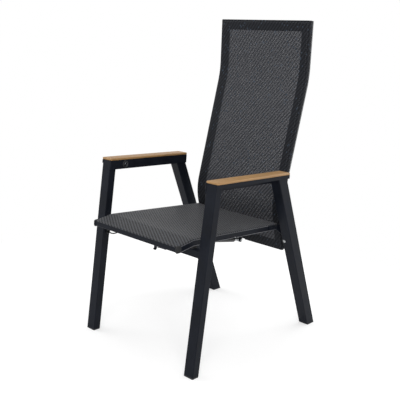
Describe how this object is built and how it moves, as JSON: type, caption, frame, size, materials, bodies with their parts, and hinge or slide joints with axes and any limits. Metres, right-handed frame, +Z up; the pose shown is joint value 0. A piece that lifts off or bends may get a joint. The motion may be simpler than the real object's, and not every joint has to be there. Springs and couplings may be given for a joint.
{
  "type": "high-back reclining garden armchair",
  "caption": "High-back garden armchair with dark mesh seat and back, grey aluminium frame, teak arm pads and a push button that frees a gas spring so the back reclines",
  "frame": {"origin": "middle of the footprint on the floor", "axes": "+Z up; the sitter faces -Y; +X is to the left of the sitter"},
  "size_m": [0.548, 0.79, 1.1858],
  "materials": {
    "coat": "dark grey powder coat on aluminium and steel, fine satin texture",
    "teak": "oiled teak, sanded, straight grain along the arm",
    "mesh": "open woven PVC-coated polyester, dark grey",
    "plastic": "moulded nylon, matt black",
    "rubber": "moulded rubber, black",
    "cable_cover": "extruded PVC cover, black",
    "cylinder_paint": "black paint on steel tube",
    "steel": "stainless and zinc-plated steel",
    "chrome": "hard chrome, polished"
  },
  "bodies": {
    "root": {"front_leg_left": "coat", "front_leg_right": "coat", "rear_leg_left": "coat", "rear_leg_right": "coat", "arm_channel_left": "coat", "arm_channel_right": "coat", "arm_pad_left": "teak", "arm_pad_right": "teak", "pad_screws": "steel", "arm_end_caps": "plastic", "front_feet": "plastic", "rear_feet": "plastic", "front_crossbar": "coat", "leg_anchors": "steel", "leg_screws": "steel", "seat_rail_left": "coat", "seat_rail_right": "coat", "seat_front_tube": "coat", "seat_rear_tube": "coat", "seat_mid_tube": "coat", "seat_end_caps": "plastic", "seat_buffers": "rubber", "seat_screws": "steel", "hinge_plate_left": "coat", "hinge_plate_right": "coat", "plate_rivets": "steel", "seat_sling": "mesh", "pivot_spacer_left": "plastic", "pivot_spacer_right": "plastic", "pivot_bolt_left": "steel", "pivot_bolt_right": "steel", "front_bracket": "coat", "front_pivots": "steel", "release_head": "steel", "spring_rod": "chrome", "lever_pin": "steel", "button_housing": "plastic", "release_cable": "cable_cover", "cable_grommet": "plastic", "cable_clips": "plastic", "clip_screws": "steel"},
    "backrest": {"back_rail_left": "coat", "back_rail_right": "coat", "back_top_bar": "coat", "back_mid_bar": "coat", "back_bottom_bar": "coat", "back_sling": "mesh", "pivot_bush_left": "plastic", "pivot_bush_right": "plastic", "back_bracket": "coat", "back_bracket_pin": "steel"},
    "gas_cylinder": {"spring_cylinder": "cylinder_paint", "spring_eye": "steel"},
    "button": {"push_button": "chrome"},
    "lever": {"release_lever": "steel", "wire_nipple": "steel"},
    "valve_pin": {"release_pin": "steel"}
  },
  "joints": [
    {"name": "backrest_recline", "type": "hinge", "parent": "root", "child": "backrest", "pos_m": [0, 0.18802, 0.402], "axis": [-1, 0, 0], "range_deg": [0, 32]},
    {"name": "spring_slide", "type": "slide", "parent": "root", "child": "gas_cylinder", "axis": [0, 0.9883, -0.1526], "range_m": [-0.0455, 0]},
    {"name": "button_press", "type": "slide", "parent": "root", "child": "button", "axis": [-1, 0, 0], "range_m": [0, 0.004], "stiffness_N_per_m": 2500},
    {"name": "lever_turn", "type": "hinge", "parent": "root", "child": "lever", "pos_m": [0, -0.27913, 0.40414], "axis": [1, 0, 0], "range_deg": [0, 6.5]},
    {"name": "valve_slide", "type": "slide", "parent": "root", "child": "valve_pin", "axis": [0, 0.9883, -0.1526], "range_m": [0, 0.0011]}
  ],
  "couplings": [
    {"joint": "spring_slide", "follows": "backrest_recline", "m_per_rad": -0.07909},
    {"joint": "lever_turn", "follows": "button_press", "rad_per_m": 27},
    {"joint": "valve_slide", "follows": "button_press", "ratio": 0.243}
  ]
}
